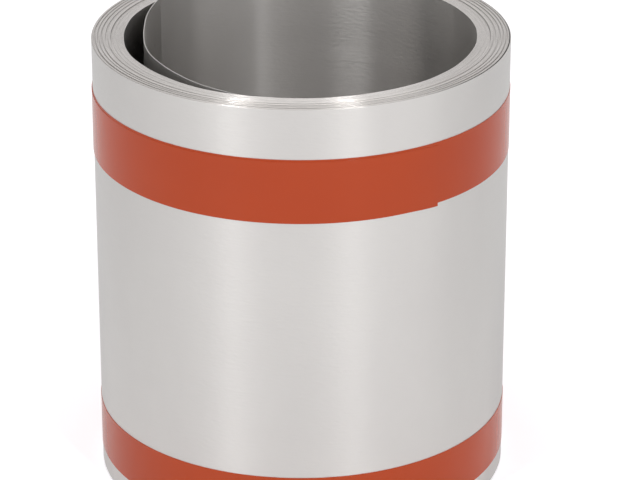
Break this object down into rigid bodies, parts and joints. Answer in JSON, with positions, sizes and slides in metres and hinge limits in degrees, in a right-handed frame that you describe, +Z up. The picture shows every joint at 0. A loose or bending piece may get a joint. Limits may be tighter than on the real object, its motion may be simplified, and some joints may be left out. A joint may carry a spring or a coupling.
{
  "type": "aluminum flashing roll",
  "caption": "Roll of thin mill-finish aluminium flashing strip standing on its end, its innermost turn loose in the bore, held by bands of orange tape.",
  "frame": {"origin": "centre of the coil's lower end, on the floor", "axes": "+Z up along the coil's axis; the loose inner turn stands off the bore's wall towards -X; -Y is the side that the upper tape's free end faces"},
  "size_m": [0.1377, 0.1378, 0.1529],
  "materials": {
    "mill_finish_aluminium": "smooth mill finish, half glossy, with fine rolling lines along the strip",
    "orange_tape": "glossy orange-red adhesive tape"
  },
  "bodies": {
    "root": {"aluminium_coil": "mill_finish_aluminium", "tape_band_upper": "orange_tape", "tape_band_lower": "orange_tape"}
  },
  "joints": []
}
